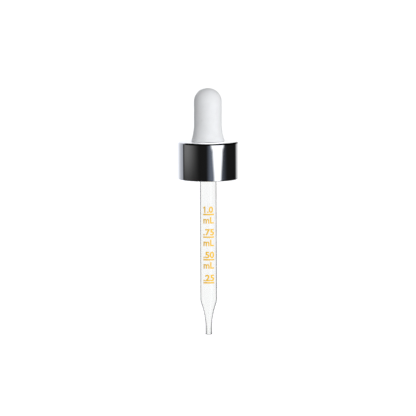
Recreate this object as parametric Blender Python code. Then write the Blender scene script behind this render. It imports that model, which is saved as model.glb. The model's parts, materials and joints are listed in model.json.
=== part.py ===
"""Medicine dropper, modelled as it is assembled.

A polished metal shell is pressed over a threaded plastic cap. A rubber bulb is snapped through the hole
in both, and its flange is the washer that seals on the bottle's lip. A drawn glass pipette is gripped in
the bulb's bore and held by its own flared rim.

The origin is on the axis at the seal plane, where the flange meets the bottle. +Z points up to the bulb.
The bulb is one moulding on the real object. Here its two side walls are bodies of their own, set in
windows of the bulb, so that they can slide inward when the bulb is squeezed.
"""

import math

import bmesh
import bpy

MM = 0.001

# Closure, for a 20 mm bottle neck
CAP_RADIUS = 12.3 * MM
CAP_TOP = 2.95 * MM
CAP_BOTTOM = -12.5 * MM
SHELL_WALL = 0.4 * MM
SHOULDER_RADIUS = 0.8 * MM
HEM_INNER_RADIUS = 11.1 * MM
NECK_HOLE_RADIUS = 5.4 * MM

INNER_CAP_RADIUS = 11.6 * MM
RIB_HEIGHT = 0.25 * MM
RIB_COUNT = 24
PANEL_THICKNESS = 1.15 * MM
LEAD_IN = 0.35 * MM

THREAD_ROOT_RADIUS = 10.15 * MM
THREAD_CREST_RADIUS = 9.1 * MM
THREAD_PITCH = 3.175 * MM
THREAD_TURNS = 1.5
THREAD_START = -8.6 * MM
THREAD_ROOT_HALF_HEIGHT = 1.15 * MM
THREAD_CREST_HALF_HEIGHT = 0.45 * MM
THREAD_SINK = 0.25 * MM
THREAD_FADE_TURNS = 0.125
THREAD_LEAST_DEPTH_SHARE = 0.1

# Rubber bulb
BULB_RADIUS = 5.7 * MM
BULB_WALL = 1.15 * MM
BULB_TOP = 24.75 * MM
FLARE_RADIUS = 6.75 * MM
FLARE_TOP = 9.6 * MM
FLARE_POWER = 1.75
NECK_RADIUS = 5.3 * MM
FLANGE_RADIUS = 8.9 * MM
FLANGE_THICKNESS = 1.3 * MM
RUBBER_EDGE = 0.3 * MM
BULB_BORE_RADIUS = 3.6 * MM
SEAT_TOP = 5.25 * MM

# Side walls of the bulb, which slide along X when it is squeezed
SQUEEZE_HALF_WIDTH = 3.2 * MM
SQUEEZE_BOTTOM = 8.6 * MM
SQUEEZE_TOP = 18.6 * MM
SQUEEZE_GAP = 0.1 * MM

# Glass pipette
TUBE_RADIUS = 3.5 * MM
TUBE_WALL = 0.575 * MM
RIM_RADIUS = 3.92 * MM
RIM_TOP = 6.42 * MM
RIM_BEAD = 0.32 * MM
TIP_END = -76.3 * MM
TIP_RADIUS = 1.27 * MM
TIP_WALL = 0.72 * MM
TIP_BEAD = 0.45 * MM
TIP_BEAD_CENTER = 0.95 * MM
TIP_LENGTH = 2.0 * MM
TAPER_LENGTH = 14.9 * MM
TAPER_SHOULDER = 3.0 * MM
TAPER_TAIL = 8.5 * MM

# Gap between touching pieces, and how finely round shapes are divided
FIT_GAP = 0.05 * MM
SHELL_SEGMENTS = 64
CAP_SEGMENTS = 96
BULB_SEGMENTS = 48
TUBE_SEGMENTS = 32
THREAD_SEGMENTS = 48
EDGE_STEPS = 3
HEM_STEPS = 4
SHOULDER_STEPS = 5
FLARE_STEPS = 6
CAVITY_STEPS = 6
DOME_STEPS = 8
TAPER_STEPS = 10
BEAD_STEPS = 10
SIDE_WALL_STEPS = 12
SHARP_ANGLE = math.radians(40)
MERGE_DISTANCE = 1e-7

# Places that follow from the sizes above
INNER_CAP_TOP = CAP_TOP - SHELL_WALL - FIT_GAP
INNER_CAP_BOTTOM = CAP_BOTTOM + SHELL_WALL + FIT_GAP
INNER_CAP_CORNER = 2.0 * RIB_HEIGHT
BULB_FOOT = CAP_TOP + FIT_GAP
DOME_CENTER = BULB_TOP - BULB_RADIUS
CAVITY_RADIUS = BULB_RADIUS - BULB_WALL
TUBE_BORE_RADIUS = TUBE_RADIUS - TUBE_WALL
SQUEEZE_MIDDLE = (SQUEEZE_TOP + SQUEEZE_BOTTOM) / 2
SQUEEZE_HEIGHT = SQUEEZE_TOP - SQUEEZE_BOTTOM

ALUMINIUM_COLOR = (0.90, 0.91, 0.93)
PLASTIC_COLOR = (0.86, 0.87, 0.86)
RUBBER_COLOR = (0.83, 0.83, 0.84)
GLASS_COLOR = (0.97, 0.98, 0.98)


def clear_scene():
    """Removes what the scene already holds."""
    for obj in list(bpy.data.objects):
        bpy.data.objects.remove(obj, do_unlink=True)


def make_material(name, color, roughness, metallic=0.0, transmission=0.0):
    """A Principled material of one finish."""
    material = bpy.data.materials.new(name)
    material.use_nodes = True
    shader = material.node_tree.nodes["Principled BSDF"]
    shader.inputs["Base Color"].default_value = (*color, 1.0)
    shader.inputs["Roughness"].default_value = roughness
    shader.inputs["Metallic"].default_value = metallic
    shader.inputs["Transmission Weight"].default_value = transmission
    return material


def add_object(name, bm, material, location=(0.0, 0.0, 0.0)):
    """A smooth-shaded object from a bmesh, with its faces pointing out."""
    bmesh.ops.recalc_face_normals(bm, faces=bm.faces)
    mesh = bpy.data.meshes.new(name)
    bm.to_mesh(mesh)
    bm.free()
    mesh.shade_smooth()
    mesh.set_sharp_from_angle(angle=SHARP_ANGLE)
    mesh.materials.append(material)
    obj = bpy.data.objects.new(name, mesh)
    obj.location = location
    bpy.context.scene.collection.objects.link(obj)
    return obj


def make_helper(obj):
    """Marks an object as a tool of a Boolean, which isn't part of the dropper."""
    obj.hide_render = True
    obj.display_type = "WIRE"


def add_boolean(obj, helper, operation):
    """Joins or cuts with a helper."""
    modifier = obj.modifiers.new(operation.lower(), "BOOLEAN")
    modifier.operation = operation
    modifier.solver = "EXACT"
    modifier.object = helper


def arc(center_radius, center_height, size, start, end, steps):
    """Points (radius, height) round a corner, from one angle in degrees to another."""
    points = []
    for step in range(steps + 1):
        angle = math.radians(start + (end - start) * step / steps)
        points.append((center_radius + size * math.cos(angle), center_height + size * math.sin(angle)))
    return points


def turned(outline, segments):
    """A bmesh of a closed (radius, height) outline turned once about Z.

    An outline whose ends lie on the axis is closed by the axis itself, and any other is joined up.
    """
    bm = bmesh.new()
    verts = [bm.verts.new((radius, 0.0, height)) for radius, height in outline]
    edges = [bm.edges.new(pair) for pair in zip(verts, verts[1:])]
    if outline[0][0] > 0.0:
        edges.append(bm.edges.new((verts[-1], verts[0])))
    bmesh.ops.spin(
        bm,
        geom=verts + edges,
        axis=(0.0, 0.0, 1.0),
        cent=(0.0, 0.0, 0.0),
        angle=2.0 * math.pi,
        steps=segments,
        use_merge=True,
    )
    bmesh.ops.remove_doubles(bm, verts=bm.verts, dist=MERGE_DISTANCE)
    return bm


def shell_outline():
    """The pressed shell: flat top with a hole, round shoulder, straight skirt and a hem turned in."""
    shoulder = CAP_RADIUS - SHOULDER_RADIUS
    shoulder_height = CAP_TOP - SHOULDER_RADIUS
    inside = CAP_RADIUS - SHELL_WALL
    hem_top = CAP_BOTTOM + SHELL_WALL
    points = [(NECK_HOLE_RADIUS, CAP_TOP)]
    points += arc(shoulder, shoulder_height, SHOULDER_RADIUS, 90, 0, SHOULDER_STEPS)
    points += arc(inside, hem_top, SHELL_WALL, 0, -90, HEM_STEPS)
    points += arc(HEM_INNER_RADIUS, CAP_BOTTOM + SHELL_WALL / 2, SHELL_WALL / 2, -90, -270, HEM_STEPS)
    points += [(inside, hem_top)]
    points += arc(shoulder, shoulder_height, SHOULDER_RADIUS - SHELL_WALL, 0, 90, EDGE_STEPS)
    points += [(NECK_HOLE_RADIUS, CAP_TOP - SHELL_WALL)]
    return points


def inner_cap_outline():
    """The threaded cap without its thread: a top panel with a hole and a straight skirt."""
    top = INNER_CAP_TOP
    bottom = INNER_CAP_BOTTOM
    corner = INNER_CAP_CORNER
    return [
        (NECK_HOLE_RADIUS, top),
        (INNER_CAP_RADIUS - corner, top),
        (INNER_CAP_RADIUS, top - corner),
        (INNER_CAP_RADIUS, top - 2 * corner),
        (INNER_CAP_RADIUS, bottom + corner),
        (INNER_CAP_RADIUS, bottom + corner / 2),
        (INNER_CAP_RADIUS - corner / 2, bottom),
        (THREAD_ROOT_RADIUS + LEAD_IN, bottom),
        (THREAD_ROOT_RADIUS, bottom + LEAD_IN),
        (THREAD_ROOT_RADIUS, top - PANEL_THICKNESS),
        (NECK_HOLE_RADIUS, top - PANEL_THICKNESS),
    ]


def raise_ribs(bm):
    """Lifts every rib's share of the skirt's outer wall, so that the ribs grip the shell."""
    rib_heights = (INNER_CAP_TOP - 2 * INNER_CAP_CORNER, INNER_CAP_BOTTOM + INNER_CAP_CORNER)
    rib_span = CAP_SEGMENTS // RIB_COUNT
    for vert in bm.verts:
        radius = math.hypot(vert.co.x, vert.co.y)
        on_wall = abs(radius - INNER_CAP_RADIUS) < RIB_HEIGHT / 2
        on_rib_end = min(abs(vert.co.z - height) for height in rib_heights) < RIB_HEIGHT / 2
        turn = math.atan2(vert.co.y, vert.co.x) / (2.0 * math.pi)
        place = round(turn * CAP_SEGMENTS) % rib_span
        if on_wall and on_rib_end and place < rib_span / 2:
            vert.co.xy *= (INNER_CAP_RADIUS + RIB_HEIGHT) / radius


def thread_section(turn):
    """The thread's four corners (radius, height) at a number of turns from its lower end."""
    fade = min(turn, THREAD_TURNS - turn) / THREAD_FADE_TURNS
    share = min(max(fade, THREAD_LEAST_DEPTH_SHARE), 1.0)
    depth = (THREAD_ROOT_RADIUS - THREAD_CREST_RADIUS + THREAD_SINK) * share
    base = THREAD_ROOT_RADIUS + THREAD_SINK
    height = THREAD_START + THREAD_PITCH * turn
    return [
        (base, height - THREAD_ROOT_HALF_HEIGHT),
        (base - depth, height - THREAD_CREST_HALF_HEIGHT),
        (base - depth, height + THREAD_CREST_HALF_HEIGHT),
        (base, height + THREAD_ROOT_HALF_HEIGHT),
    ]


def thread_bmesh():
    """A right-hand ridge that climbs the inside of the skirt and fades into it at both ends."""
    bm = bmesh.new()
    steps = round(THREAD_TURNS * THREAD_SEGMENTS)
    rings = []
    for step in range(steps + 1):
        turn = step / THREAD_SEGMENTS
        angle = 2.0 * math.pi * turn
        ring = []
        for radius, height in thread_section(turn):
            ring.append(bm.verts.new((radius * math.cos(angle), radius * math.sin(angle), height)))
        rings.append(ring)
    for lower, upper in zip(rings, rings[1:]):
        for index in range(len(lower)):
            after = (index + 1) % len(lower)
            bm.faces.new((lower[index], lower[after], upper[after], upper[index]))
    bm.faces.new(rings[0])
    bm.faces.new(rings[-1])
    return bm


def flare_points(steps):
    """The bulb's foot, which widens in a hollow curve from the barrel down to its rim."""
    rim_height = BULB_FOOT + RUBBER_EDGE
    points = []
    for step in range(steps + 1):
        share = step / steps
        radius = BULB_RADIUS + (FLARE_RADIUS - BULB_RADIUS) * share**FLARE_POWER
        points.append((radius, FLARE_TOP + (rim_height - FLARE_TOP) * share))
    return points


def bulb_outline():
    """The bulb from its dome down the outside, round the flange and up the inside."""
    rim = FLARE_RADIUS - RUBBER_EDGE
    flange = FLANGE_RADIUS - RUBBER_EDGE
    points = [(0.0, BULB_TOP)]
    points += arc(0.0, DOME_CENTER, BULB_RADIUS, 90, 0, DOME_STEPS)[1:]
    points += flare_points(FLARE_STEPS)
    points += arc(rim, BULB_FOOT + RUBBER_EDGE, RUBBER_EDGE, 0, -90, EDGE_STEPS)[1:]
    points += [(NECK_RADIUS, BULB_FOOT), (NECK_RADIUS, FLANGE_THICKNESS)]
    points += arc(flange, FLANGE_THICKNESS - RUBBER_EDGE, RUBBER_EDGE, 90, 0, EDGE_STEPS)
    points += arc(flange, RUBBER_EDGE, RUBBER_EDGE, 0, -90, EDGE_STEPS)
    points += [(BULB_BORE_RADIUS, 0.0), (BULB_BORE_RADIUS, SEAT_TOP)]
    points += [(CAVITY_RADIUS, SEAT_TOP + CAVITY_RADIUS - BULB_BORE_RADIUS)]
    points += arc(0.0, DOME_CENTER, CAVITY_RADIUS, 0, 90, CAVITY_STEPS)[:-1]
    points += [(0.0, DOME_CENTER + CAVITY_RADIUS)]
    return points


def squeeze_window():
    """A bar through the barrel, which opens the two windows for the side walls."""
    bm = bmesh.new()
    bmesh.ops.create_cube(bm, size=1.0)
    beyond_both_sides = 4.0 * BULB_RADIUS
    width = 2.0 * (SQUEEZE_HALF_WIDTH + SQUEEZE_GAP)
    height = SQUEEZE_HEIGHT + 2.0 * SQUEEZE_GAP
    bmesh.ops.scale(bm, vec=(beyond_both_sides, width, height), verts=bm.verts)
    return bm


def chord_arc(radius, steps):
    """Points (x, y) of the arc that the squeezed wall's half width cuts from a circle, towards +Y."""
    half_angle = math.asin(SQUEEZE_HALF_WIDTH / radius)
    points = []
    for step in range(steps + 1):
        angle = half_angle * (2.0 * step / steps - 1.0)
        points.append((radius * math.cos(angle), radius * math.sin(angle)))
    return points


def side_wall(side):
    """One side wall of the barrel about its own middle, and its place. Side is 1 for +X and -1 for -X."""
    middle = BULB_RADIUS - BULB_WALL / 2
    plan = chord_arc(BULB_RADIUS, SIDE_WALL_STEPS) + chord_arc(CAVITY_RADIUS, SIDE_WALL_STEPS)[::-1]
    bm = bmesh.new()
    verts = [bm.verts.new((side * (x - middle), y, -SQUEEZE_HEIGHT / 2)) for x, y in plan]
    floor = bm.faces.new(verts)
    walls = bmesh.ops.extrude_face_region(bm, geom=[floor])
    lifted = [item for item in walls["geom"] if isinstance(item, bmesh.types.BMVert)]
    bmesh.ops.translate(bm, vec=(0.0, 0.0, SQUEEZE_HEIGHT), verts=lifted)
    bmesh.ops.triangulate(bm, faces=[face for face in bm.faces if len(face.verts) > 4])
    return bm, (side * middle, 0.0, SQUEEZE_MIDDLE)


def taper_points(steps):
    """The drawn taper's outer wall from the tube down to the tip, as (radius, height, share).

    It is one Bezier curve that leaves the tube and meets the tip along the axis.
    """
    top = TIP_END + TAPER_LENGTH
    bottom = TIP_END + TIP_LENGTH
    heights = (top, top - TAPER_SHOULDER, bottom + TAPER_TAIL, bottom)
    points = []
    for step in range(steps + 1):
        t = step / steps
        weights = ((1 - t) ** 3, 3 * (1 - t) ** 2 * t, 3 * (1 - t) * t**2, t**3)
        share = weights[2] + weights[3]
        height = sum(weight * value for weight, value in zip(weights, heights))
        points.append((TUBE_RADIUS + (TIP_RADIUS - TUBE_RADIUS) * share, height, share))
    return points


def pipette_outline():
    """The pipette from its rim down the outside, round the tip's bead and up the bore."""
    taper = taper_points(TAPER_STEPS)
    bore = []
    for radius, height, share in reversed(taper):
        bore.append((radius - TUBE_WALL - (TIP_WALL - TUBE_WALL) * share, height))
    rim_center = RIM_RADIUS - RIM_BEAD
    rim_height = RIM_TOP - RIM_BEAD
    points = arc(rim_center, rim_height, RIM_BEAD, 90, -30, HEM_STEPS)
    points += [(TUBE_RADIUS, SEAT_TOP)]
    points += [(radius, height) for radius, height, _ in taper]
    points += arc(TIP_BEAD_CENTER, TIP_END + TIP_BEAD, TIP_BEAD, 45, -180, BEAD_STEPS)
    points += bore
    points += [(TUBE_BORE_RADIUS, SEAT_TOP)]
    points += arc(rim_center, rim_height, RIM_BEAD, 180, 120, 2)
    return points


def build_closure():
    """The metal shell and the threaded cap inside it."""
    metal = make_material("polished_aluminium", ALUMINIUM_COLOR, 0.06, metallic=1.0)
    plastic = make_material("white_polypropylene", PLASTIC_COLOR, 0.45)
    shell = add_object("outer_shell", turned(shell_outline(), SHELL_SEGMENTS), metal)
    body = turned(inner_cap_outline(), CAP_SEGMENTS)
    raise_ribs(body)
    inner_cap = add_object("inner_cap", body, plastic)
    thread = add_object("thread_ridge_helper", thread_bmesh(), plastic)
    make_helper(thread)
    add_boolean(inner_cap, thread, "UNION")
    inner_cap.parent = shell
    thread.parent = shell


def build_bulb():
    """The bulb and its two side walls, which are the squeeze joints' bodies."""
    rubber = make_material("white_rubber", RUBBER_COLOR, 0.5)
    bulb = add_object("bulb_body", turned(bulb_outline(), BULB_SEGMENTS), rubber)
    window = add_object("squeeze_window_helper", squeeze_window(), rubber, (0.0, 0.0, SQUEEZE_MIDDLE))
    make_helper(window)
    add_boolean(bulb, window, "DIFFERENCE")
    window.parent = bulb
    for name, side in (("bulb_wall_right", 1), ("bulb_wall_left", -1)):
        body, place = side_wall(side)
        wall = add_object(name, body, rubber, place)
        wall.parent = bulb
    return bulb


def build_pipette(bulb):
    """The glass pipette, which turns with the bulb."""
    glass = make_material("clear_glass", GLASS_COLOR, 0.02, transmission=1.0)
    pipette = add_object("glass_pipette", turned(pipette_outline(), TUBE_SEGMENTS), glass)
    pipette.parent = bulb


clear_scene()
build_closure()
build_pipette(build_bulb())
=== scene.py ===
"""The looks of the medicine dropper: turned metal, moulded rubber, drawn glass and printed graduations.

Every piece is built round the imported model, in metres, with the seal plane at height 0 and +Z up. The
numbers are read from the side that faces -Y, where the camera stands.
"""

import json
import math

import bmesh
import bpy
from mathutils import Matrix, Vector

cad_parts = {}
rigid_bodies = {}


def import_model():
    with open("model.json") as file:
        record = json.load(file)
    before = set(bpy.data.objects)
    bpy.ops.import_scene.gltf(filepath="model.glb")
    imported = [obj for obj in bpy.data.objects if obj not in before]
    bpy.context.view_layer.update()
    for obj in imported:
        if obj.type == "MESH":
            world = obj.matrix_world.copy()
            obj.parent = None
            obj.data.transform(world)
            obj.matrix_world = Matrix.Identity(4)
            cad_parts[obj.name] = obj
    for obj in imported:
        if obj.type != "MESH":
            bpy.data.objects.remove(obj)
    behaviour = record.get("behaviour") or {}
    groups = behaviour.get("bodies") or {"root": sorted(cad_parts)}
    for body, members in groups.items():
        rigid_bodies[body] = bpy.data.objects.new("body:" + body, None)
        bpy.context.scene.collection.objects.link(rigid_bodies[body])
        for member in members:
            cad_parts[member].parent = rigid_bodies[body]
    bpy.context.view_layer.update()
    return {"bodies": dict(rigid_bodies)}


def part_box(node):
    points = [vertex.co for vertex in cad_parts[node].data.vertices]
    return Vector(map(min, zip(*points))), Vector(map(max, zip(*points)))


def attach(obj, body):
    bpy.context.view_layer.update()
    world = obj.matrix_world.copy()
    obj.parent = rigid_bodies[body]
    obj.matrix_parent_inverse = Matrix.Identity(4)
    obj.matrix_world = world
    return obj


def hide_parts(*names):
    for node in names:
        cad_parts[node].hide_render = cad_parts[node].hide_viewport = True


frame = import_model()

MM = 0.001

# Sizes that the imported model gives
SHELL_LOW, SHELL_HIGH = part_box("outer_shell")
CAP_LOW, CAP_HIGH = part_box("inner_cap")
BULB_LOW, BULB_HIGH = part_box("bulb_body")
WALL_LOW, WALL_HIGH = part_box("bulb_wall_right")
GLASS_LOW, GLASS_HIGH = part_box("glass_pipette")

SHELL_RADIUS = SHELL_HIGH.x
CAP_RIB_RADIUS = CAP_HIGH.x
FLANGE_RADIUS = BULB_HIGH.x
BULB_RADIUS = WALL_HIGH.x
RIM_RADIUS = GLASS_HIGH.x

# Metal shell
SHELL_WALL = 0.4 * MM
SHOULDER_RADIUS = 0.8 * MM
HEM_INNER_RADIUS = 11.1 * MM
NECK_HOLE_RADIUS = 5.4 * MM
HOLE_EDGE = 0.12 * MM

# Plastic cap and its thread
RIB_HEIGHT = 0.25 * MM
RIB_COUNT = 24
PANEL_THICKNESS = 1.15 * MM
LEAD_IN = 0.35 * MM
THREAD_ROOT_RADIUS = 10.15 * MM
THREAD_DEPTH = 1.05 * MM
THREAD_PITCH = 3.175 * MM
THREAD_TURNS = 1.5
THREAD_START = -8.6 * MM
THREAD_ROOT_HALF_HEIGHT = 1.0 * MM
THREAD_CREST_HALF_HEIGHT = 0.4 * MM
THREAD_FADE_TURNS = 0.1

# Rubber bulb
BULB_WALL = 1.15 * MM
FLARE_RADIUS = 6.75 * MM
FLARE_TOP = 9.6 * MM
FLARE_POWER = 1.75
NECK_RADIUS = 5.3 * MM
FLANGE_THICKNESS = 1.3 * MM
RUBBER_EDGE = 0.3 * MM
BULB_BORE_RADIUS = 3.6 * MM
SEAT_TOP = 5.25 * MM
BULB_FOOT = SHELL_HIGH.z + 0.05 * MM
SQUEEZE_START = 6.6 * MM
SQUEEZE_BULGE = 0.6

# Glass pipette
TUBE_RADIUS = 3.5 * MM
TUBE_WALL = 0.575 * MM
RIM_BEAD = 0.32 * MM
TIP_RADIUS = 1.27 * MM
TIP_WALL = 0.72 * MM
TIP_BEAD = 0.45 * MM
TIP_BEAD_CENTER = 0.95 * MM
TIP_LENGTH = 2.0 * MM
TAPER_LENGTH = 14.9 * MM
TAPER_SHOULDER = 3.0 * MM
TAPER_TAIL = 8.5 * MM

# Printed graduations: (the bar's height, the number over it, the number's length, whether a unit is under it)
BAR_LENGTH = 4.7 * MM
GRADUATIONS = (
    (-26.75 * MM, "1.0", 4.25 * MM, True),
    (-36.0 * MM, ".75", BAR_LENGTH, True),
    (-45.25 * MM, ".50", BAR_LENGTH, True),
    (-54.7 * MM, ".25", BAR_LENGTH, False),
)
BAR_THICKNESS = 0.58 * MM
PRINT_OFFSET = 0.1 * MM
NUMBER_HEIGHT = 2.7 * MM
NUMBER_RISE = 0.62 * MM
UNIT_HEIGHT = 2.75 * MM
UNIT_DROP = 0.95 * MM
UNIT_LENGTH = 4.5 * MM
INK_GAP = 0.004 * MM
INK_THICKNESS = 0.03 * MM
NUMBER_BOLDNESS = 0.032
UNIT_BOLDNESS = 0.028
INK_SLICE = 0.15 * MM

# A figure 1 with a flag, which the font draws as a plain bar: its corners as (x, height) and how far its
# stroke's left side stands from the next figure, all against the height of the figures
FIGURE_ONE = ((0.0, 0.0), (0.19, 0.0), (0.19, 1.0), (0.06, 1.0), (-0.19, 0.84), (-0.19, 0.66), (0.0, 0.77))
FIGURE_ONE_PLACE = 0.44

# The glass's colour by how far it turns away from the eye: its own faint tint in the middle, and painted
# shade, dark edge lines, towards its outer edge
GLASS_TINT_AND_PAINTED_EDGE_SHADE = (
    (0.00, (0.985, 0.990, 0.988)),
    (0.47, (0.975, 0.980, 0.978)),
    (0.53, (0.100, 0.102, 0.104)),
    (0.57, (0.050, 0.051, 0.052)),
    (0.63, (0.050, 0.051, 0.052)),
    (0.68, (0.400, 0.405, 0.405)),
    (0.74, (0.900, 0.910, 0.910)),
)
TIP_EDGE_MIDDLE = 0.62
TIP_EDGE_SPREAD = 0.7

# How finely round shapes are divided
SHELL_SEGMENTS = 256
CAP_SEGMENTS = 192
BULB_SEGMENTS = 160
GLASS_SEGMENTS = 160
HOLE_EDGE_STEPS = 5
TOP_ROWS = 12
SHOULDER_STEPS = 20
SKIRT_ROWS = 24
HEM_STEPS = 12
HEM_INNER_STEPS = 10
INNER_SHOULDER_STEPS = 8
CAP_CORNER_STEPS = 6
CAP_EDGE_STEPS = 4
THREAD_ROWS = 90
DOME_STEPS = 40
BARREL_ROWS = 24
FLARE_STEPS = 24
FOOT_STEPS = 8
FLANGE_STEPS = 6
CAVITY_DOME_STEPS = 24
TAPER_STEPS = 48
TUBE_ROWS = 48
RIM_STEPS = 12
RIM_INNER_STEPS = 6
TIP_BEAD_STEPS = 20
TENT_SEGMENTS = 180

DOME_CENTER = BULB_HIGH.z - BULB_RADIUS
CAVITY_RADIUS = BULB_RADIUS - BULB_WALL
TUBE_BORE_RADIUS = TUBE_RADIUS - TUBE_WALL


# ---------------------------------------------------------------- shapes


def arc(center_radius, center_height, size, start, end, steps):
    """Points (radius, height) round a corner, from one angle in degrees to another."""
    points = []
    for step in range(steps + 1):
        angle = math.radians(start + (end - start) * step / steps)
        points.append((center_radius + size * math.cos(angle), center_height + size * math.sin(angle)))
    return points


def run(start, end, steps):
    """Points on a straight stretch, closer together towards its ends, so that shading stays flat there."""
    points = []
    for step in range(1, steps):
        share = (1.0 - math.cos(math.pi * step / steps)) / 2.0
        points.append(tuple(a + (b - a) * share for a, b in zip(start, end)))
    return points


def turned_mesh(name, outline_at, segments):
    """A closed mesh turned about Z. outline_at gives the closed (radius, height) outline at an angle.

    An outline whose ends lie on the axis is closed by the axis itself, and any other is joined up.
    """
    bm = bmesh.new()
    first = outline_at(0.0)
    on_axis = first[0][0] == 0.0
    poles = {0: None, len(first) - 1: None} if on_axis else {}
    for index in poles:
        poles[index] = bm.verts.new((0.0, 0.0, first[index][1]))
    rings = []
    for segment in range(segments):
        angle = 2.0 * math.pi * segment / segments
        ring = []
        for index, (radius, height) in enumerate(outline_at(angle)):
            if index in poles:
                ring.append(poles[index])
            else:
                place = (radius * math.cos(angle), radius * math.sin(angle), height)
                ring.append(bm.verts.new(place))
        rings.append(ring)
    last = len(first) - 1 if on_axis else len(first)
    for segment, ring in enumerate(rings):
        beside = rings[(segment + 1) % segments]
        for index in range(last):
            after = (index + 1) % len(first)
            corners = (ring[index], ring[after], beside[after], beside[index])
            bm.faces.new(list(dict.fromkeys(corners)))
    return finished_mesh(name, bm)


def finished_mesh(name, bm, sharp_angle=40.0):
    """A smooth-shaded mesh from a bmesh, with its faces pointing out."""
    bmesh.ops.recalc_face_normals(bm, faces=bm.faces)
    mesh = bpy.data.meshes.new(name)
    bm.to_mesh(mesh)
    bm.free()
    mesh.shade_smooth()
    mesh.set_sharp_from_angle(angle=math.radians(sharp_angle))
    return mesh


def add_piece(name, mesh, material, body):
    """Puts a finished mesh in the scene as a piece that rides on a body."""
    mesh.materials.append(material)
    piece = bpy.data.objects.new(name, mesh)
    bpy.context.scene.collection.objects.link(piece)
    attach(piece, body)
    return piece


# ---------------------------------------------------------------- metal shell


def shell_outline():
    """The pressed shell: flat top with a rounded hole edge, shoulder, straight skirt and turned-in hem."""
    shoulder = SHELL_RADIUS - SHOULDER_RADIUS
    shoulder_height = SHELL_HIGH.z - SHOULDER_RADIUS
    inside = SHELL_RADIUS - SHELL_WALL
    hem_center = SHELL_LOW.z + SHELL_WALL
    hole = NECK_HOLE_RADIUS + HOLE_EDGE
    points = arc(hole, SHELL_HIGH.z - HOLE_EDGE, HOLE_EDGE, 180, 90, HOLE_EDGE_STEPS)
    points += run(points[-1], (shoulder, SHELL_HIGH.z), TOP_ROWS)
    points += arc(shoulder, shoulder_height, SHOULDER_RADIUS, 90, 0, SHOULDER_STEPS)
    points += run((SHELL_RADIUS, shoulder_height), (SHELL_RADIUS, hem_center), SKIRT_ROWS)
    points += arc(inside, hem_center, SHELL_WALL, 0, -90, HEM_STEPS)
    hem_inner_height = SHELL_LOW.z + SHELL_WALL / 2
    points += arc(HEM_INNER_RADIUS, hem_inner_height, SHELL_WALL / 2, -90, -270, HEM_INNER_STEPS)
    points += [(inside, hem_center)]
    points += arc(shoulder, shoulder_height, SHOULDER_RADIUS - SHELL_WALL, 0, 90, INNER_SHOULDER_STEPS)
    points += [(NECK_HOLE_RADIUS, SHELL_HIGH.z - SHELL_WALL)]
    return points


def build_shell(material):
    """The polished shell."""
    outline = shell_outline()
    mesh = turned_mesh("metal_shell", lambda angle: outline, SHELL_SEGMENTS)
    shell = add_piece("metal_shell", mesh, material, "closure")
    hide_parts("outer_shell")


# ---------------------------------------------------------------- threaded cap


def ease(value, low, high):
    """0 below low and 1 above high, with a smooth rise between."""
    share = min(max((value - low) / (high - low), 0.0), 1.0)
    return share * share * (3.0 - 2.0 * share)


def thread_relief(angle, height):
    """How far the thread stands out of the cap's inner wall at a place on it."""
    relief = 0.0
    for whole_turns in range(math.ceil(THREAD_TURNS)):
        turn = angle / (2.0 * math.pi) + whole_turns
        middle = THREAD_START + THREAD_PITCH * turn
        away = abs(height - middle)
        flank = 1.0 - ease(away, THREAD_CREST_HALF_HEIGHT, THREAD_ROOT_HALF_HEIGHT)
        fade = ease(turn, 0.0, THREAD_FADE_TURNS)
        fade *= 1.0 - ease(turn, THREAD_TURNS - THREAD_FADE_TURNS, THREAD_TURNS)
        relief = max(relief, THREAD_DEPTH * flank * fade)
    return relief


def cap_outline(angle):
    """The threaded cap's outline at an angle, with its ribs outside and its thread inside."""
    top = CAP_HIGH.z
    bottom = CAP_LOW.z
    plain = CAP_RIB_RADIUS - RIB_HEIGHT
    corner = 2.0 * RIB_HEIGHT
    rib = RIB_HEIGHT * ease(math.cos(RIB_COUNT * angle), -0.3, 0.3)
    panel = top - PANEL_THICKNESS
    points = [(NECK_HOLE_RADIUS, top)]
    points += arc(plain - corner, top - corner, corner, 90, 0, CAP_CORNER_STEPS)
    points += [(plain + rib, top - 2 * corner), (plain + rib, bottom + corner)]
    points += arc(plain - corner / 2, bottom + corner / 2, corner / 2, 0, -90, CAP_EDGE_STEPS)
    points += arc(THREAD_ROOT_RADIUS + LEAD_IN, bottom + LEAD_IN, LEAD_IN, -90, -180, CAP_EDGE_STEPS)
    floor = bottom + 2 * LEAD_IN
    for row in range(THREAD_ROWS + 1):
        height = floor + (panel - LEAD_IN - floor) * row / THREAD_ROWS
        points.append((THREAD_ROOT_RADIUS - thread_relief(angle, height), height))
    points += arc(THREAD_ROOT_RADIUS - LEAD_IN, panel - LEAD_IN, LEAD_IN, 0, 90, CAP_EDGE_STEPS)[1:]
    points += [(NECK_HOLE_RADIUS, panel)]
    return points


def build_cap(material):
    """The moulded cap inside the shell."""
    mesh = turned_mesh("threaded_cap", cap_outline, CAP_SEGMENTS)
    cap = add_piece("threaded_cap", mesh, material, "closure")
    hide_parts("inner_cap")


# ---------------------------------------------------------------- rubber bulb


def flare_points(steps):
    """The bulb's foot, which widens in a hollow curve from the barrel down to its rim."""
    rim_height = BULB_FOOT + RUBBER_EDGE
    points = []
    for step in range(steps + 1):
        share = step / steps
        radius = BULB_RADIUS + (FLARE_RADIUS - BULB_RADIUS) * share**FLARE_POWER
        points.append((radius, FLARE_TOP + (rim_height - FLARE_TOP) * share))
    return points


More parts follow.
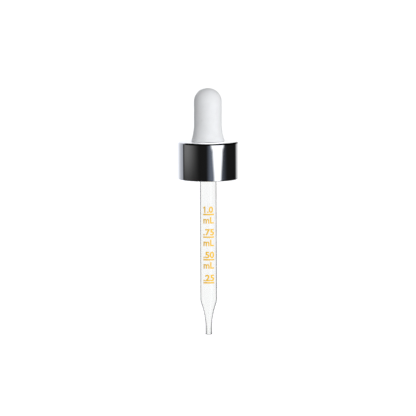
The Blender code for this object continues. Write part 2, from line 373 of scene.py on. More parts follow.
def bulb_outline():
    """The bulb from its dome down the outside, round the flange and up the inside."""
    rim = FLARE_RADIUS - RUBBER_EDGE
    flange = FLANGE_RADIUS - RUBBER_EDGE
    points = [(0.0, BULB_HIGH.z)]
    points += arc(0.0, DOME_CENTER, BULB_RADIUS, 90, 0, DOME_STEPS)[1:]
    for row in range(1, BARREL_ROWS):
        share = row / BARREL_ROWS
        points.append((BULB_RADIUS, DOME_CENTER + (FLARE_TOP - DOME_CENTER) * share))
    points += flare_points(FLARE_STEPS)
    points += arc(rim, BULB_FOOT + RUBBER_EDGE, RUBBER_EDGE, 0, -90, FOOT_STEPS)[1:]
    points += [(NECK_RADIUS, BULB_FOOT), (NECK_RADIUS, FLANGE_THICKNESS)]
    points += arc(flange, FLANGE_THICKNESS - RUBBER_EDGE, RUBBER_EDGE, 90, 0, FLANGE_STEPS)
    points += arc(flange, RUBBER_EDGE, RUBBER_EDGE, 0, -90, FLANGE_STEPS)
    points += [(BULB_BORE_RADIUS, 0.0), (BULB_BORE_RADIUS, SEAT_TOP)]
    cavity_floor = SEAT_TOP + CAVITY_RADIUS - BULB_BORE_RADIUS
    for row in range(BARREL_ROWS + 1):
        share = row / BARREL_ROWS
        points.append((CAVITY_RADIUS, cavity_floor + (DOME_CENTER - cavity_floor) * share))
    points += arc(0.0, DOME_CENTER, CAVITY_RADIUS, 0, 90, CAVITY_DOME_STEPS)[1:-1]
    points += [(0.0, DOME_CENTER + CAVITY_RADIUS)]
    return points


class Maths:
    """Builds sums out of Math nodes in one node tree."""

    def __init__(self, tree):
        self.tree = tree

    def do(self, operation, *values):
        """One Math node, given numbers or sockets."""
        node = self.tree.nodes.new("ShaderNodeMath")
        node.operation = operation
        for index, value in enumerate(values):
            if isinstance(value, bpy.types.NodeSocket):
                self.tree.links.new(value, node.inputs[index])
            else:
                node.inputs[index].default_value = value
        return node.outputs[0]

    def smooth(self, value, low, high, start=0.0, end=1.0):
        """A smooth step from start to end as value goes from low to high."""
        node = self.tree.nodes.new("ShaderNodeMapRange")
        node.interpolation_type = "SMOOTHSTEP"
        self.tree.links.new(value, node.inputs["Value"])
        for name, number in (("From Min", low), ("From Max", high), ("To Min", start), ("To Max", end)):
            node.inputs[name].default_value = number
        return node.outputs["Result"]


def travel_of(tree, body):
    """How far a body has slid along X, seen from the piece that the node tree shapes."""
    info = tree.nodes.new("GeometryNodeObjectInfo")
    info.transform_space = "RELATIVE"
    info.inputs["Object"].default_value = frame["bodies"][body]
    split = tree.nodes.new("ShaderNodeSeparateXYZ")
    tree.links.new(info.outputs["Location"], split.inputs[0])
    return split.outputs["X"]


def squeeze_nodes():
    """Nodes that press the bulb's sides in by what the two wall bodies have travelled.

    The sides move in along X, and the front and back swell along Y, because rubber bends and doesn't
    shrink. The wall keeps its thickness, and the foot and the top of the dome stay where they are.
    """
    tree = bpy.data.node_groups.new("bulb_squeeze", "GeometryNodeTree")
    for way in ("INPUT", "OUTPUT"):
        tree.interface.new_socket("Geometry", in_out=way, socket_type="NodeSocketGeometry")
    maths = Maths(tree)
    position = tree.nodes.new("ShaderNodeSeparateXYZ")
    tree.links.new(tree.nodes.new("GeometryNodeInputPosition").outputs[0], position.inputs[0])
    x, y, z = position.outputs
    radius = maths.do("SQRT", maths.do("ADD", maths.do("MULTIPLY", x, x), maths.do("MULTIPLY", y, y)))
    reach = maths.do("MAXIMUM", radius, CAVITY_RADIUS)
    across = maths.do("DIVIDE", x, reach)
    along = maths.do("DIVIDE", y, reach)
    middle = (WALL_LOW.z + WALL_HIGH.z) / 2
    rise = maths.smooth(z, SQUEEZE_START, middle)
    fall = maths.smooth(z, middle, BULB_HIGH.z, 1.0, 0.0)
    share = maths.do("MULTIPLY", rise, fall)
    left = travel_of(tree, "squeeze_wall_left")
    right = travel_of(tree, "squeeze_wall_right")
    right_side = maths.do("MULTIPLY", maths.do("MAXIMUM", across, 0.0), right)
    left_side = maths.do("MULTIPLY", maths.do("MAXIMUM", maths.do("MULTIPLY", across, -1.0), 0.0), left)
    inward = maths.do("MULTIPLY", share, maths.do("ADD", right_side, left_side))
    pressed = maths.do("MULTIPLY", maths.do("SUBTRACT", left, right), SQUEEZE_BULGE / 2)
    swell = maths.do("MULTIPLY", share, maths.do("MULTIPLY", along, pressed))
    offset = tree.nodes.new("ShaderNodeCombineXYZ")
    tree.links.new(inward, offset.inputs["X"])
    tree.links.new(swell, offset.inputs["Y"])
    move = tree.nodes.new("GeometryNodeSetPosition")
    tree.links.new(tree.nodes.new("NodeGroupInput").outputs[0], move.inputs["Geometry"])
    tree.links.new(offset.outputs[0], move.inputs["Offset"])
    tree.links.new(move.outputs[0], tree.nodes.new("NodeGroupOutput").inputs[0])
    return tree


def build_bulb(material):
    """The whole bulb in one moulding, which bends where the model's side walls slide."""
    outline = bulb_outline()
    mesh = turned_mesh("rubber_bulb", lambda angle: outline, BULB_SEGMENTS)
    bulb = add_piece("rubber_bulb", mesh, material, "bulb_and_pipette")
    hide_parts("bulb_body", "bulb_wall_left", "bulb_wall_right")
    modifier = bulb.modifiers.new("squeeze", "NODES")
    modifier.node_group = squeeze_nodes()


# ---------------------------------------------------------------- glass pipette


def taper_points(steps):
    """The drawn taper's outer wall from the tube down to the tip, as (radius, height, share).

    It is one Bezier curve that leaves the tube and meets the tip along the axis.
    """
    top = GLASS_LOW.z + TAPER_LENGTH
    bottom = GLASS_LOW.z + TIP_LENGTH
    heights = (top, top - TAPER_SHOULDER, bottom + TAPER_TAIL, bottom)
    points = []
    for step in range(steps + 1):
        t = step / steps
        weights = ((1 - t) ** 3, 3 * (1 - t) ** 2 * t, 3 * (1 - t) * t**2, t**3)
        share = weights[2] + weights[3]
        height = sum(weight * value for weight, value in zip(weights, heights))
        points.append((TUBE_RADIUS + (TIP_RADIUS - TUBE_RADIUS) * share, height, share))
    return points


def pipette_outline():
    """The pipette from its rim down the outside, round the tip's bead and up the bore."""
    taper = taper_points(TAPER_STEPS)
    bore = []
    for radius, height, share in reversed(taper):
        bore.append((radius - TUBE_WALL - (TIP_WALL - TUBE_WALL) * share, height))
    rim_center = RIM_RADIUS - RIM_BEAD
    rim_height = GLASS_HIGH.z - RIM_BEAD
    points = arc(rim_center, rim_height, RIM_BEAD, 90, -30, RIM_STEPS)
    points += [(TUBE_RADIUS, SEAT_TOP)]
    points += run((TUBE_RADIUS, SEAT_TOP), taper[0][:2], TUBE_ROWS)
    points += [(radius, height) for radius, height, _ in taper]
    points += arc(TIP_BEAD_CENTER, GLASS_LOW.z + TIP_BEAD, TIP_BEAD, 45, -180, TIP_BEAD_STEPS)
    points += bore
    points += run(bore[-1], (TUBE_BORE_RADIUS, SEAT_TOP), TUBE_ROWS)
    points += [(TUBE_BORE_RADIUS, SEAT_TOP)]
    points += arc(rim_center, rim_height, RIM_BEAD, 180, 90, RIM_INNER_STEPS)[:-1]
    return points


def build_pipette(material):
    """The drawn glass tube."""
    outline = pipette_outline()
    mesh = turned_mesh("glass_tube", lambda angle: outline, GLASS_SEGMENTS)
    pipette = add_piece("glass_tube", mesh, material, "bulb_and_pipette")
    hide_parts("glass_pipette")


# ---------------------------------------------------------------- printed graduations


def flat_bar(length, thickness):
    """A bmesh of a flat bar in the XZ plane, about its own middle."""
    bm = bmesh.new()
    corners = ((-0.5, -0.5), (0.5, -0.5), (0.5, 0.5), (-0.5, 0.5))
    bm.faces.new([bm.verts.new((x * length, 0.0, z * thickness)) for x, z in corners])
    return bm


def add_figure_one(bm):
    """Adds a figure 1 to the left of the figures that a bmesh holds in the XY plane."""
    ys = [vert.co.y for vert in bm.verts]
    height = max(ys) - min(ys)
    left = min(vert.co.x for vert in bm.verts) - FIGURE_ONE_PLACE * height
    corners = [bm.verts.new((left + x * height, min(ys) + y * height, 0.0)) for x, y in FIGURE_ONE]
    figure = bm.faces.new(corners)
    figure.normal_update()
    bmesh.ops.triangulate(bm, faces=[figure])


def flat_words(words, height, length, boldness):
    """A bmesh of words in the XZ plane, fitted to a height and a length, standing on z = 0."""
    curve = bpy.data.curves.new("words", "FONT")
    curve.body = words.lstrip("1")
    curve.size = 1.0
    curve.offset = boldness
    curve.resolution_u = 8
    holder = bpy.data.objects.new("words", curve)
    bpy.context.scene.collection.objects.link(holder)
    bpy.context.view_layer.update()
    evaluated = holder.evaluated_get(bpy.context.evaluated_depsgraph_get())
    mesh = bpy.data.meshes.new_from_object(evaluated)
    bm = bmesh.new()
    bm.from_mesh(mesh)
    bpy.data.objects.remove(holder, do_unlink=True)
    if words.startswith("1"):
        add_figure_one(bm)
    xs = [vert.co.x for vert in bm.verts]
    ys = [vert.co.y for vert in bm.verts]
    middle = (min(xs) + max(xs)) / 2
    wide = length / (max(xs) - min(xs))
    tall = height / (max(ys) - min(ys))
    for vert in bm.verts:
        vert.co = ((vert.co.x - middle) * wide, 0.0, (vert.co.y - min(ys)) * tall)
    bmesh.ops.remove_doubles(bm, verts=bm.verts, dist=1e-7)
    return bm


def wrap_on_tube(bm, height):
    """Cuts a flat print into narrow upright slices, gives it the ink's thickness and bends it round."""
    reach = max(abs(vert.co.x) for vert in bm.verts)
    cuts = math.floor(reach / INK_SLICE)
    for cut in range(-cuts, cuts + 1):
        everything = bm.verts[:] + bm.edges[:] + bm.faces[:]
        bmesh.ops.bisect_plane(
            bm, geom=everything, dist=1e-8, plane_co=(cut * INK_SLICE, 0.0, 0.0), plane_no=(1.0, 0.0, 0.0)
        )
    grown = bmesh.ops.extrude_face_region(bm, geom=bm.faces[:], use_keep_orig=True)
    outer = {item for item in grown["geom"] if isinstance(item, bmesh.types.BMVert)}
    for vert in bm.verts:
        radius = TUBE_RADIUS + INK_GAP + (INK_THICKNESS if vert in outer else 0.0)
        angle = (vert.co.x + PRINT_OFFSET) / TUBE_RADIUS
        vert.co = (radius * math.sin(angle), -radius * math.cos(angle), vert.co.z + height)


def build_graduations(material):
    """The bars, numbers and units, each a thin layer of ink on the glass."""
    for height, number, length, has_unit in GRADUATIONS:
        prints = [("bar", flat_bar(BAR_LENGTH, BAR_THICKNESS), height)]
        words = flat_words(number, NUMBER_HEIGHT, length, NUMBER_BOLDNESS)
        bmesh.ops.translate(words, verts=words.verts, vec=((length - BAR_LENGTH) / 2, 0.0, 0.0))
        prints.append(("number", words, height + NUMBER_RISE))
        if has_unit:
            words = flat_words("mL", UNIT_HEIGHT, UNIT_LENGTH, UNIT_BOLDNESS)
            prints.append(("unit", words, height - UNIT_DROP - UNIT_HEIGHT))
        for kind, bm, base in prints:
            wrap_on_tube(bm, base)
            name = f"graduation_{number.replace('.', '')}_{kind}"
            add_piece(name, finished_mesh(name, bm), material, "bulb_and_pipette")


# ---------------------------------------------------------------- materials

# How fine the patterns in the materials are, in cycles for each metre
TURNING_LINES = 5200.0
HANDLING_HAZE = 260.0
RUBBER_PATCHES = 300.0
RUBBER_GRAIN = 5000.0
PLASTIC_PATCHES = 220.0
PLASTIC_FLOW = 2500.0
DRAW_LINES = 900.0
INK_COVER = 2600.0
INK_GRAIN = 9000.0
FLOOR_MOTTLE = 8.0


def start_material(name):
    """A material with its tree, its shader and a Maths helper."""
    material = bpy.data.materials.new(name)
    material.use_nodes = True
    tree = material.node_tree
    return material, tree, tree.nodes["Principled BSDF"], Maths(tree)


def set_values(shader, **values):
    """Sets the shader's own sockets. Words in a name are joined by underscores."""
    for name, value in values.items():
        shader.inputs[name.replace("_", " ")].default_value = value


def object_place(tree):
    """The place on the object, as a vector socket."""
    return tree.nodes.new("ShaderNodeTexCoord").outputs["Object"]


def stretched(tree, vector, scale):
    """A vector multiplied by a scale on each axis."""
    node = tree.nodes.new("ShaderNodeVectorMath")
    node.operation = "MULTIPLY"
    tree.links.new(vector, node.inputs[0])
    node.inputs[1].default_value = scale
    return node.outputs["Vector"]


def noise(tree, vector, scale, detail=2.0, roughness=0.5):
    """A noise pattern's value, with scale in cycles for each metre."""
    node = tree.nodes.new("ShaderNodeTexNoise")
    tree.links.new(vector, node.inputs["Vector"])
    node.inputs["Scale"].default_value = scale
    node.inputs["Detail"].default_value = detail
    node.inputs["Roughness"].default_value = roughness
    return node.outputs["Fac"]


def spread_to(tree, value, low, high):
    """A noise value from about 0.3 to 0.7 spread over a range."""
    node = tree.nodes.new("ShaderNodeMapRange")
    tree.links.new(value, node.inputs["Value"])
    for name, number in (("From Min", 0.3), ("From Max", 0.7), ("To Min", low), ("To Max", high)):
        node.inputs[name].default_value = number
    return node.outputs["Result"]


def ramp(tree, value, stops):
    """A color that runs through (value, color) stops as the value goes from 0 to 1."""
    node = tree.nodes.new("ShaderNodeValToRGB")
    tree.links.new(value, node.inputs["Fac"])
    elements = node.color_ramp.elements
    while len(elements) < len(stops):
        elements.new(1.0)
    for element, (position, color) in zip(elements, stops):
        element.position = position
        element.color = (*color, 1.0)
    return node.outputs["Color"]


def color_between(tree, value, dark, light):
    """A color that goes from dark to light with a noise value."""
    return ramp(tree, value, ((0.3, dark), (0.7, light)))


def add_bump(tree, shader, height, strength, distance):
    """Feeds a height pattern to the shader's normal."""
    bump = tree.nodes.new("ShaderNodeBump")
    bump.inputs["Strength"].default_value = strength
    bump.inputs["Distance"].default_value = distance
    tree.links.new(height, bump.inputs["Height"])
    tree.links.new(bump.outputs["Normal"], shader.inputs["Normal"])


def round_place(tree, maths):
    """(distance from the axis, height) on the object as a vector, so that a pattern runs round it."""
    split = tree.nodes.new("ShaderNodeSeparateXYZ")
    tree.links.new(object_place(tree), split.inputs[0])
    x, y, z = split.outputs
    radius = maths.do("SQRT", maths.do("ADD", maths.do("MULTIPLY", x, x), maths.do("MULTIPLY", y, y)))
    join = tree.nodes.new("ShaderNodeCombineXYZ")
    tree.links.new(radius, join.inputs["X"])
    tree.links.new(z, join.inputs["Z"])
    return join.outputs["Vector"]


def polished_metal():
    """Mirror-polished aluminium with faint turning lines and handling haze."""
    material, tree, shader, maths = start_material("polished_metal")
    set_values(shader, Base_Color=(0.93, 0.935, 0.95, 1.0), Metallic=1.0)
    lines = noise(tree, round_place(tree, maths), TURNING_LINES, detail=3.0, roughness=0.7)
    haze = noise(tree, object_place(tree), HANDLING_HAZE, detail=3.0)
    fine = spread_to(tree, lines, 0.015, 0.035)
    broad = spread_to(tree, haze, 0.0, 0.02)
    tree.links.new(maths.do("ADD", fine, broad), shader.inputs["Roughness"])
    add_bump(tree, shader, lines, 0.01, 0.002 * MM)
    return material


def white_rubber():
    """Soft white rubber: satin, slightly translucent, with the mould's fine texture."""
    material, tree, shader, maths = start_material("white_rubber")
    set_values(
        shader,
        IOR=1.4,
        Subsurface_Weight=0.12,
        Subsurface_Radius=(1.0, 0.95, 0.9),
        Subsurface_Scale=0.5 * MM,
    )
    place = object_place(tree)
    patches = noise(tree, place, RUBBER_PATCHES, detail=4.0)
    tint = color_between(tree, patches, (0.80, 0.805, 0.80), (0.84, 0.845, 0.845))
    tree.links.new(tint, shader.inputs["Base Color"])
    grain = noise(tree, place, RUBBER_GRAIN, detail=2.0)
    tree.links.new(spread_to(tree, patches, 0.27, 0.35), shader.inputs["Roughness"])
    add_bump(tree, shader, maths.do("ADD", grain, patches), 0.10, 0.02 * MM)
    return material


def white_plastic():
    """Moulded polypropylene, waxy and slightly translucent."""
    material, tree, shader, maths = start_material("white_plastic")
    set_values(
        shader,
        IOR=1.49,
        Subsurface_Weight=0.2,
        Subsurface_Radius=(1.0, 1.0, 0.95),
        Subsurface_Scale=1.0 * MM,
    )
    place = object_place(tree)
    patches = noise(tree, place, PLASTIC_PATCHES, detail=3.0)
    tint = color_between(tree, patches, (0.82, 0.825, 0.815), (0.88, 0.885, 0.88))
    tree.links.new(tint, shader.inputs["Base Color"])
    tree.links.new(spread_to(tree, patches, 0.30, 0.42), shader.inputs["Roughness"])
    flow = noise(tree, round_place(tree, maths), PLASTIC_FLOW, detail=3.0)
    add_bump(tree, shader, flow, 0.08, 0.02 * MM)
    return material


def painted_edge_shade_share(tree, maths):
    """How far the glass's outer wall turns away from the eye, which sets its painted edge shade, with a
    broader painted edge at the thick-walled tip.
    """
    facing = tree.nodes.new("ShaderNodeLayerWeight").outputs["Facing"]
    split = tree.nodes.new("ShaderNodeSeparateXYZ")
    tree.links.new(object_place(tree), split.inputs[0])
    tip = maths.smooth(split.outputs["Z"], GLASS_LOW.z + TIP_LENGTH, GLASS_LOW.z + TAPER_LENGTH, 1.0, 0.0)
    away = maths.do("SUBTRACT", TIP_EDGE_MIDDLE, facing)
    share = maths.do("MULTIPLY_ADD", maths.do("MULTIPLY", tip, TIP_EDGE_SPREAD), away, facing)
    return maths.do("MULTIPLY", share, outer_wall(tree, maths))


def outer_wall(tree, maths):
    """1 where the surface faces away from the tube's axis, and 0 where it faces it, as the bore does."""
    facing_out = tree.nodes.new("ShaderNodeVectorMath")
    facing_out.operation = "DOT_PRODUCT"
    tree.links.new(stretched(tree, object_place(tree), (1.0, 1.0, 0.0)), facing_out.inputs[0])
    tree.links.new(tree.nodes.new("ShaderNodeTexCoord").outputs["Normal"], facing_out.inputs[1])
    return maths.do("GREATER_THAN", facing_out.outputs["Value"], 0.0)


def clear_glass():
    """Soda-lime tube: clear, with painted shade: dark edge lines tinted into its colour where the outer wall
    turns away from the eye.
    """
    material, tree, shader, maths = start_material("clear_glass")
    set_values(shader, IOR=1.5, Transmission_Weight=1.0)
    # Painted shade: the glass's colour turns dark along its outer edges, by how far the wall turns from the
    # eye
    tint = ramp(tree, painted_edge_shade_share(tree, maths), GLASS_TINT_AND_PAINTED_EDGE_SHADE)
    tree.links.new(tint, shader.inputs["Base Color"])
    along_tube = stretched(tree, object_place(tree), (1.0, 1.0, 0.02))
    draw_lines = noise(tree, along_tube, DRAW_LINES, detail=2.0)
    tree.links.new(spread_to(tree, draw_lines, 0.0, 0.004), shader.inputs["Roughness"])
    add_bump(tree, shader, draw_lines, 0.02, 0.01 * MM)
    return material


def yellow_ink():
    """Fired yellow-orange ink, a little uneven where the screen laid it down."""
    material, tree, shader, _ = start_material("yellow_ink")
    set_values(shader, IOR=1.5)
    place = object_place(tree)
    cover = noise(tree, place, INK_COVER, detail=3.0)
    tint = color_between(tree, cover, (0.99, 0.55, 0.008), (1.0, 0.63, 0.015))
    tree.links.new(tint, shader.inputs["Base Color"])
    tree.links.new(spread_to(tree, cover, 0.30, 0.50), shader.inputs["Roughness"])
    add_bump(tree, shader, noise(tree, place, INK_GRAIN), 0.15, 0.01 * MM)
    return material


def floor_white():
    """A plain pale floor."""
    material, tree, shader, _ = start_material("floor_white")
    set_values(shader, Roughness=0.9, Emission_Color=(1.0, 1.0, 1.0, 1.0), Emission_Strength=0.6)
    mottle = noise(tree, object_place(tree), FLOOR_MOTTLE)
    tint = color_between(tree, mottle, (0.93, 0.93, 0.93), (0.95, 0.95, 0.95))
    tree.links.new(tint, shader.inputs["Base Color"])
    return material


# ---------------------------------------------------------------- studio

# The studio that the polished metal mirrors: plain panels round the object, with a dim room between them.
# Each panel is (where it starts, is full, fades and ends, as azimuths in degrees from the camera's side
# towards +X), its light, and its tint.
NEUTRAL = (1.0, 1.0, 1.0)
COOL = (0.96, 1.0, 1.12)
BLUE = (0.86, 1.0, 1.30)
PANELS = (
    ((-182, -181, -114, -106), 0.40, COOL),  # the backdrop's left side
    ((-182, -181, -165, -115), 0.60, NEUTRAL),  # its brighter middle, seen on the left
    ((-107, -98, -90, -30), 0.15, NEUTRAL),  # the grey card
    ((-8, 14, 30, 80), 0.14, BLUE),  # the cool panel beside the camera
    ((124, 142, 181, 182), 0.50, NEUTRAL),  # the backdrop's right side
    ((130, 170, 181, 182), 0.50, NEUTRAL),  # its brighter middle, seen on the right
)
ROOM_LIGHT = 0.01
CEILING_LIGHT = 0.02

# Where the tent turns dark towards the top and the bottom, as (from height, to height). Behind the object,
# between the two azimuths, it is bright up to the backdrop's own edge.
BACKDROP_EDGE = (0.24, 0.30)
FRONT_EDGE = (-0.027, 0.03)
LOW_EDGE = (-0.10, -0.05)
LOW_LIGHT = 0.4
BACKDROP_START = 160.0
BACKDROP_END = -112.0

# The strip light in the tent: azimuth of its middle, how wide its soft edge is, and its half width, all in
# degrees. It widens towards the top in three smooth steps of (from height, to height, more half width).
STRIP_AZIMUTH = 36.4
STRIP_SOFTNESS = 12.0
STRIP_HALF_WIDTH = 18.9
STRIP_WIDENING = (
    (-0.0460, -0.0320, 5.5),
    (-0.0314, -0.0298, 6.0),
    (-0.0295, 0.10, 5.0),
)
STRIP_TOP = 0.05
STRIP_TOP_SOFTNESS = 0.02
STRIP_RADIANCE = 1.3
STRIP_COLOR = (0.97, 0.985, 1.0, 1.0)

# The grey card on the left is darker towards its lower edge
CARD_AZIMUTHS = (-107.0, -101.0, -60.0, -25.0)
CARD_HEIGHTS = (-0.0515, -0.0305)
CARD_LOW_LIGHT = 0.2

TENT_RADIUS = 0.35
TENT_BOTTOM = -0.60
TENT_TOP = 0.45

FLOOR_HALF_SIZE = 6.0
FLOOR_GAP = 1.0 * MM

# Light that matt surfaces receive: a broad key beside the camera and the glow of the backdrop
KEY_LIGHT = 1.53
KEY_COLOR = (0.985, 0.995, 1.02, 1.0)
BACK_LIGHT = 6.8
BACK_COLOR = (1.0, 1.0, 0.96, 1.0)
BACK_FOCUS = 20.0
KEY_AZIMUTH = 32.0
KEY_ELEVATION = 6.0
METAL_BOUNCE = 2.0

VIEW_ELEVATION = 5.9
VIEW_ROLL = -0.25
VIEW_DISTANCE = 2.4
VIEW_WIDTH = 0.1695
VIEW_CENTER = (-0.12 * MM, 0.0, -24.4 * MM)
SENSOR_WIDTH = 36.0


def strip_share(maths, azimuth, height):
    """1 in the middle of the strip light and 0 outside it, with soft edges."""
    half_width = STRIP_HALF_WIDTH
    for low, high, more in STRIP_WIDENING:
        half_width = maths.do("ADD", maths.smooth(height, low, high, 0.0, more), half_width)
    away = maths.do("ABSOLUTE", maths.do("SUBTRACT", azimuth, STRIP_AZIMUTH))
    inside = maths.smooth(maths.do("SUBTRACT", half_width, away), 0.0, STRIP_SOFTNESS)
    below_top = maths.smooth(height, STRIP_TOP, STRIP_TOP + STRIP_TOP_SOFTNESS, 1.0, 0.0)
    return maths.do("MULTIPLY", inside, below_top)


def panel_share(maths, azimuth, edges):
    """1 on a panel and 0 beside it, by where it starts, is full, fades and ends."""
    start, full, fading, end = edges
    rise = maths.smooth(azimuth, start, full)
    fall = maths.smooth(azimuth, fading, end, 1.0, 0.0)
    return maths.do("MULTIPLY", rise, fall)


def panels_color(tree, maths, azimuth):
    """The light of the room and all the panels together, as a color."""
    total = None
    for edges, light, tint in PANELS:
        share = maths.do("MULTIPLY", panel_share(maths, azimuth, edges), light)
        scaled = tree.nodes.new("ShaderNodeVectorMath")
        scaled.operation = "SCALE"
        scaled.inputs[0].default_value = tint
        tree.links.new(share, scaled.inputs["Scale"])
        add = tree.nodes.new("ShaderNodeVectorMath")
        tree.links.new(scaled.outputs["Vector"], add.inputs[0])
        if total is None:
            add.inputs[1].default_value = (ROOM_LIGHT, ROOM_LIGHT, ROOM_LIGHT)
        else:
            tree.links.new(total, add.inputs[1])
        total = add.outputs["Vector"]
    return total


def card_light(maths, azimuth, height):
    """How bright the surroundings are where the grey card's lower edge darkens them, against 1 elsewhere."""
    across = panel_share(maths, azimuth, CARD_AZIMUTHS)
    dark = maths.do("MULTIPLY", across, maths.smooth(height, *CARD_HEIGHTS, 1.0 - CARD_LOW_LIGHT, 0.0))
    return maths.do("SUBTRACT", 1.0, dark)


def mix_shaders(tree, share, first, second):
    """The first shader where share is 0 and the second where it is 1."""
    mix = tree.nodes.new("ShaderNodeMixShader")
    for socket, value in zip(mix.inputs, (share, first, second)):
        tree.links.new(value, socket)
    return mix.outputs[0]


def after(tree, *kinds):
    """1 for light that has met a surface of one of these kinds on its way from the eye, and 0 otherwise.

    The kinds are Diffuse for matt surfaces, Glossy for polished ones and Transmission for glass.
    """
    paths = tree.nodes.new("ShaderNodeLightPath").outputs
    maths = Maths(tree)
    met = 0.0
    for kind in kinds:
        met = maths.do("ADD", paths[f"{kind} Depth"], met)
    return maths.do("MINIMUM", met, 1.0)


def tent_material():
    """The tent's light, by azimuth and height."""
    material = bpy.data.materials.new("tent_light")
    material.use_nodes = True
    tree = material.node_tree
    tree.nodes.clear()
    maths = Maths(tree)
    split = tree.nodes.new("ShaderNodeSeparateXYZ")
    tree.links.new(object_place(tree), split.inputs[0])
    x, y, z = split.outputs
    azimuth = maths.do("DEGREES", maths.do("ARCTAN2", x, maths.do("MULTIPLY", y, -1.0)))
    color = panels_color(tree, maths, azimuth)
    right_of_end = maths.do("GREATER_THAN", azimuth, BACKDROP_END)
    left_of_start = maths.do("LESS_THAN", azimuth, BACKDROP_START)
    front = maths.do("MULTIPLY", right_of_end, left_of_start)
    above = maths.smooth(z, *FRONT_EDGE, 0.0, CEILING_LIGHT - 1.0)
    front_light = maths.do("ADD", above, maths.smooth(z, *LOW_EDGE, LOW_LIGHT - 1.0, 0.0))
    lit = maths.smooth(z, *BACKDROP_EDGE, 1.0, CEILING_LIGHT)
    lit = maths.do("MULTIPLY", lit, maths.do("MULTIPLY_ADD", front, front_light, 1.0))
    lit = maths.do("MULTIPLY", lit, card_light(maths, azimuth, z))
    strip = strip_share(maths, azimuth, z)
    wall = tree.nodes.new("ShaderNodeEmission")
    tree.links.new(color, wall.inputs["Color"])
    tree.links.new(lit, wall.inputs["Strength"])
    lamp = tree.nodes.new("ShaderNodeEmission")
    lamp.inputs["Color"].default_value = STRIP_COLOR
    lamp.inputs["Strength"].default_value = STRIP_RADIANCE
    mixed = mix_shaders(tree, strip, wall.outputs[0], lamp.outputs[0])
    clear = tree.nodes.new("ShaderNodeBsdfTransparent").outputs[0]
    output = tree.nodes.new("ShaderNodeOutputMaterial")
    seen_through = after(tree, "Diffuse", "Transmission")
    tree.links.new(mix_shaders(tree, seen_through, mixed, clear), output.inputs["Surface"])
    material.cycles.emission_sampling = "NONE"
    return material


def build_tent():
    """A round light tent that only reflections see."""
    bm = bmesh.new()
    bmesh.ops.create_cone(
        bm,
        cap_ends=False,
        segments=TENT_SEGMENTS,
        radius1=TENT_RADIUS,
        radius2=TENT_RADIUS,
        depth=TENT_TOP - TENT_BOTTOM,
    )
    bmesh.ops.translate(bm, verts=bm.verts, vec=(0.0, 0.0, (TENT_TOP + TENT_BOTTOM) / 2))
    mesh = bpy.data.meshes.new("light_tent")
    bm.to_mesh(mesh)
    bm.free()
    mesh.materials.append(tent_material())
    tent = bpy.data.objects.new("light_tent", mesh)
    bpy.context.scene.collection.objects.link(tent)
    tent.visible_camera = False
    tent.visible_diffuse = False
    tent.visible_transmission = False
    tent.visible_shadow = False


def background(tree, color, strength):
    """A Background node, given numbers or sockets."""
    node = tree.nodes.new("ShaderNodeBackground")
    for name, value in (("Color", color), ("Strength", strength)):
        if isinstance(value, bpy.types.NodeSocket):
            tree.links.new(value, node.inputs[name])
        else:
            node.inputs[name].default_value = value
    return node.outputs[0]


def facing_share(tree, direction, azimuth, elevation):
    """1 towards an azimuth and elevation in degrees, and -1 away from them."""
    azimuth = math.radians(azimuth)
    elevation = math.radians(elevation)
    facing = tree.nodes.new("ShaderNodeVectorMath")
    facing.operation = "DOT_PRODUCT"
    tree.links.new(direction, facing.inputs[0])
    facing.inputs[1].default_value = (
        math.sin(azimuth) * math.cos(elevation),
        -math.cos(azimuth) * math.cos(elevation),
        math.sin(elevation),
    )
    return facing.outputs["Value"]


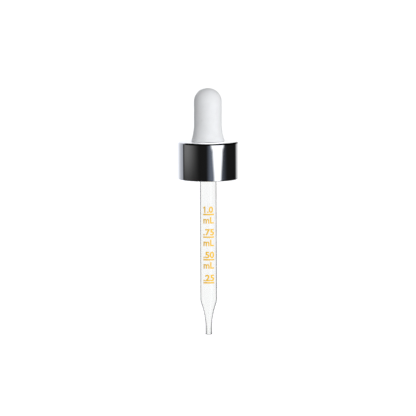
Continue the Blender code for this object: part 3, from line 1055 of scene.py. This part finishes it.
def build_world():
    """White to look at, dark over the tent for reflections, and a soft key and fill for matt surfaces.

    Matt surfaces get more of the key light that comes by way of the polished metal.
    """
    world = bpy.data.worlds.new("studio")
    bpy.context.scene.world = world
    world.use_nodes = True
    tree = world.node_tree
    tree.nodes.clear()
    maths = Maths(tree)
    direction = tree.nodes.new("ShaderNodeTexCoord").outputs["Generated"]
    key = maths.do("MULTIPLY_ADD", facing_share(tree, direction, KEY_AZIMUTH, KEY_ELEVATION), 0.5, 0.5)
    back = maths.do("MAXIMUM", facing_share(tree, direction, 180.0, 0.0), 0.0)
    key_light = maths.do("MULTIPLY", maths.do("MULTIPLY", key, key), KEY_LIGHT)
    back_light = maths.do("MULTIPLY", maths.do("POWER", back, BACK_FOCUS), BACK_LIGHT)
    bounce = maths.do("MULTIPLY_ADD", after(tree, "Glossy"), METAL_BOUNCE - 1.0, 1.0)
    key_light = maths.do("MULTIPLY", key_light, bounce)
    white = (1.0, 1.0, 1.0, 1.0)
    paths = tree.nodes.new("ShaderNodeLightPath").outputs
    shown = background(tree, white, CEILING_LIGHT)
    shown = mix_shaders(tree, after(tree, "Transmission"), shown, background(tree, white, 1.0))
    soft_light = tree.nodes.new("ShaderNodeAddShader")
    tree.links.new(background(tree, KEY_COLOR, key_light), soft_light.inputs[0])
    tree.links.new(background(tree, BACK_COLOR, back_light), soft_light.inputs[1])
    shown = mix_shaders(tree, after(tree, "Diffuse"), shown, soft_light.outputs[0])
    shown = mix_shaders(tree, paths["Is Camera Ray"], shown, background(tree, white, 1.0))
    tree.links.new(shown, tree.nodes.new("ShaderNodeOutputWorld").inputs["Surface"])
    world.cycles.sampling_method = "NONE"


def build_floor():
    """The floor, just under the tip."""
    bm = bmesh.new()
    bmesh.ops.create_grid(bm, x_segments=8, y_segments=8, size=FLOOR_HALF_SIZE)
    mesh = finished_mesh("floor", bm)
    mesh.materials.append(floor_white())
    floor = bpy.data.objects.new("floor", mesh)
    bpy.context.scene.collection.objects.link(floor)
    floor.location.z = GLASS_LOW.z - FLOOR_GAP
    floor.visible_glossy = False
    floor.visible_transmission = False
    floor.visible_diffuse = False


def build_camera():
    """The camera, in front, a little above and far away."""
    data = bpy.data.cameras.new("camera")
    camera = bpy.data.objects.new("camera", data)
    bpy.context.scene.collection.objects.link(camera)
    data.sensor_width = SENSOR_WIDTH
    data.lens = SENSOR_WIDTH * VIEW_DISTANCE / VIEW_WIDTH
    data.clip_start = 0.01
    data.clip_end = 100.0
    elevation = math.radians(VIEW_ELEVATION)
    x, y, z = VIEW_CENTER
    camera.location = (
        x,
        y - VIEW_DISTANCE * math.cos(elevation),
        z + VIEW_DISTANCE * math.sin(elevation),
    )
    camera.rotation_mode = "ZYX"
    camera.rotation_euler = (math.pi / 2 - elevation, 0.0, math.radians(VIEW_ROLL))
    bpy.context.scene.camera = camera


build_shell(polished_metal())
build_cap(white_plastic())
build_bulb(white_rubber())
build_pipette(clear_glass())
build_graduations(yellow_ink())
build_world()
build_tent()
build_floor()
build_camera()
bpy.context.scene.view_settings.view_transform = "Standard"
